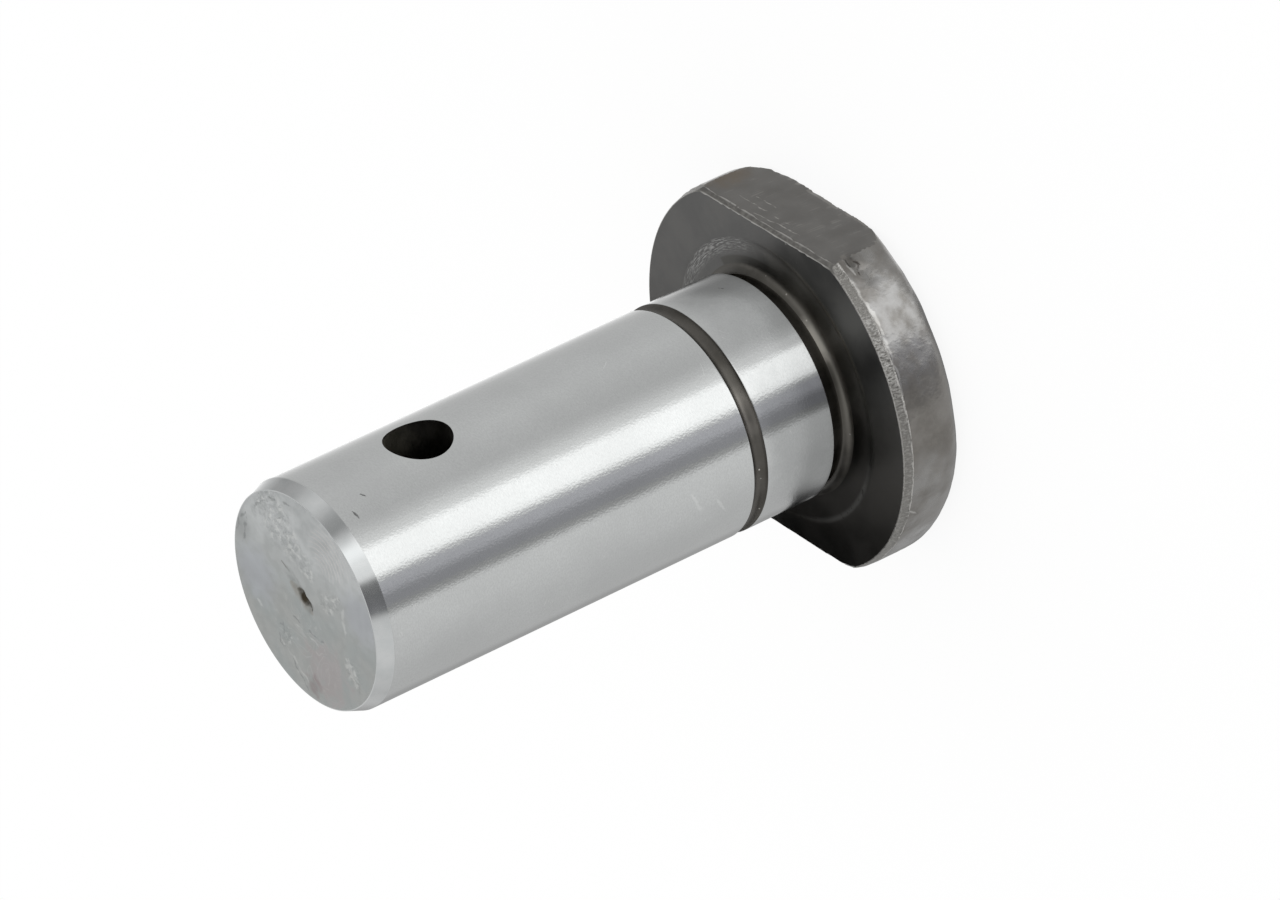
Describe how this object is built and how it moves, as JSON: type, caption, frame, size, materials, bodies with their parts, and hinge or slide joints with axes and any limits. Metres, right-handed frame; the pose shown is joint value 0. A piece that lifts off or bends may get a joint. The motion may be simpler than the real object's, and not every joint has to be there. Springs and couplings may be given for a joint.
{
  "type": "pivot pin",
  "caption": "Headed steel pivot pin with two flats on its head, a ground shank, a ring groove and a cross hole for a locking pin.",
  "frame": {"origin": "centre of the head's back face, on the shank's axis", "axes": "+Z along the shank from the head to the free end; the head's two flats face -Y and +Y, and the cross hole runs along Y"},
  "size_m": [0.0474, 0.041, 0.0755],
  "materials": {
    "steel": "ground shank, dark forged head"
  },
  "bodies": {
    "root": {"pivot_pin": "steel"}
  },
  "joints": []
}
